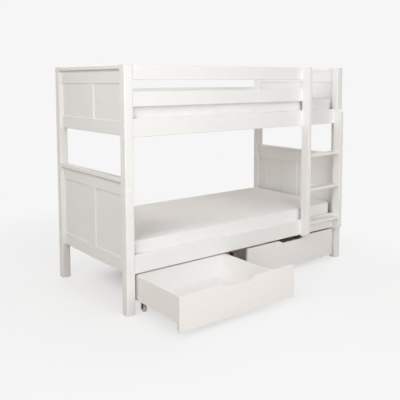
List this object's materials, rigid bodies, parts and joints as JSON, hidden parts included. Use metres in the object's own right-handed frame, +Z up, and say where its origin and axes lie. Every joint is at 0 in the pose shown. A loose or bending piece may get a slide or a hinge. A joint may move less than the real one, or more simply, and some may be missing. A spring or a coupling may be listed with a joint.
{
  "type": "bunk bed",
  "caption": "Bunk bed with boarded ends, side rails, guard boards, a short ladder, slats, mattresses and under-bed drawers that roll on casters; one drawer stands open.",
  "frame": {"origin": "centre of the front-left post's foot, on the floor", "axes": "+X along the bed towards the ladder end, +Y from the front to the rear, +Z up"},
  "size_m": [2.044, 1.429, 1.555],
  "materials": {
    "white_paint": "satin white paint on solid wood",
    "drawer_board": "satin white painted board",
    "slat_wood": "planed, unfinished pine",
    "mattress_fabric": "white knitted cover",
    "zinc_steel": "zinc plated",
    "cap_plastic": "white moulded",
    "caster_plastic": "black moulded",
    "wheel_plastic": "off-white moulded"
  },
  "bodies": {
    "bed": {"lower_post_front_left": "white_paint", "upper_post_front_left": "white_paint", "lower_post_front_right": "white_paint", "upper_post_front_right": "white_paint", "lower_post_rear_left": "white_paint", "upper_post_rear_left": "white_paint", "lower_post_rear_right": "white_paint", "upper_post_rear_right": "white_paint", "lower_left_end_cap": "white_paint", "lower_left_end_rails": "white_paint", "lower_left_end_mullion": "white_paint", "lower_left_end_infill": "white_paint", "lower_right_end_cap": "white_paint", "lower_right_end_rails": "white_paint", "lower_right_end_mullion": "white_paint", "lower_right_end_infill": "white_paint", "lower_side_rail_front": "white_paint", "lower_side_rail_rear": "white_paint", "lower_slats": "slat_wood", "lower_mattress": "mattress_fabric", "upper_left_end_cap": "white_paint", "upper_left_end_rails": "white_paint", "upper_left_end_mullion": "white_paint", "upper_left_end_infill": "white_paint", "upper_right_end_cap": "white_paint", "upper_right_end_rails": "white_paint", "upper_right_end_mullion": "white_paint", "upper_right_end_infill": "white_paint", "upper_side_rail_front": "white_paint", "upper_side_rail_rear": "white_paint", "upper_slats": "slat_wood", "upper_mattress": "mattress_fabric", "front_guard_middle": "white_paint", "front_guard_top": "white_paint", "rear_guard": "white_paint", "ladder_stile_left": "white_paint", "ladder_stile_right": "white_paint", "ladder_treads": "white_paint", "slat_battens": "slat_wood", "post_dowels": "zinc_steel", "bolts": "zinc_steel", "bolt_caps": "cap_plastic"},
    "left_drawer": {"left_drawer_front": "drawer_board", "left_drawer_left_side": "drawer_board", "left_drawer_right_side": "drawer_board", "left_drawer_back": "drawer_board", "left_drawer_base": "drawer_board", "left_drawer_caster_housings": "caster_plastic", "left_drawer_caster_axles": "zinc_steel"},
    "left_front_wheels": {"left_drawer_front_wheels": "wheel_plastic"},
    "left_rear_wheels": {"left_drawer_rear_wheels": "wheel_plastic"},
    "right_drawer": {"right_drawer_front": "drawer_board", "right_drawer_left_side": "drawer_board", "right_drawer_right_side": "drawer_board", "right_drawer_back": "drawer_board", "right_drawer_base": "drawer_board", "right_drawer_caster_housings": "caster_plastic", "right_drawer_caster_axles": "zinc_steel"},
    "right_front_wheels": {"right_drawer_front_wheels": "wheel_plastic"},
    "right_rear_wheels": {"right_drawer_rear_wheels": "wheel_plastic"}
  },
  "joints": [
    {"name": "left_drawer_slide", "type": "slide", "parent": "bed", "child": "left_drawer", "axis": [0, -1, 0], "range_m": [-0.455, 0.145]},
    {"name": "left_front_wheel_spin", "type": "hinge", "parent": "left_drawer", "child": "left_front_wheels", "pos_m": [0.415, -0.411, 0.025], "axis": [1, 0, 0], "continuous": true},
    {"name": "left_rear_wheel_spin", "type": "hinge", "parent": "left_drawer", "child": "left_rear_wheels", "pos_m": [0.415, -0.016, 0.025], "axis": [1, 0, 0], "continuous": true},
    {"name": "right_drawer_slide", "type": "slide", "parent": "bed", "child": "right_drawer", "axis": [0, -1, 0], "range_m": [0, 0.6]},
    {"name": "right_front_wheel_spin", "type": "hinge", "parent": "right_drawer", "child": "right_front_wheels", "pos_m": [1.55, 0.044, 0.025], "axis": [1, 0, 0], "continuous": true},
    {"name": "right_rear_wheel_spin", "type": "hinge", "parent": "right_drawer", "child": "right_rear_wheels", "pos_m": [1.55, 0.439, 0.025], "axis": [1, 0, 0], "continuous": true}
  ],
  "couplings": [
    {"joint": "left_front_wheel_spin", "follows": "left_drawer_slide", "rad_per_m": 40},
    {"joint": "left_rear_wheel_spin", "follows": "left_drawer_slide", "rad_per_m": 40},
    {"joint": "right_front_wheel_spin", "follows": "right_drawer_slide", "rad_per_m": 40},
    {"joint": "right_rear_wheel_spin", "follows": "right_drawer_slide", "rad_per_m": 40}
  ]
}
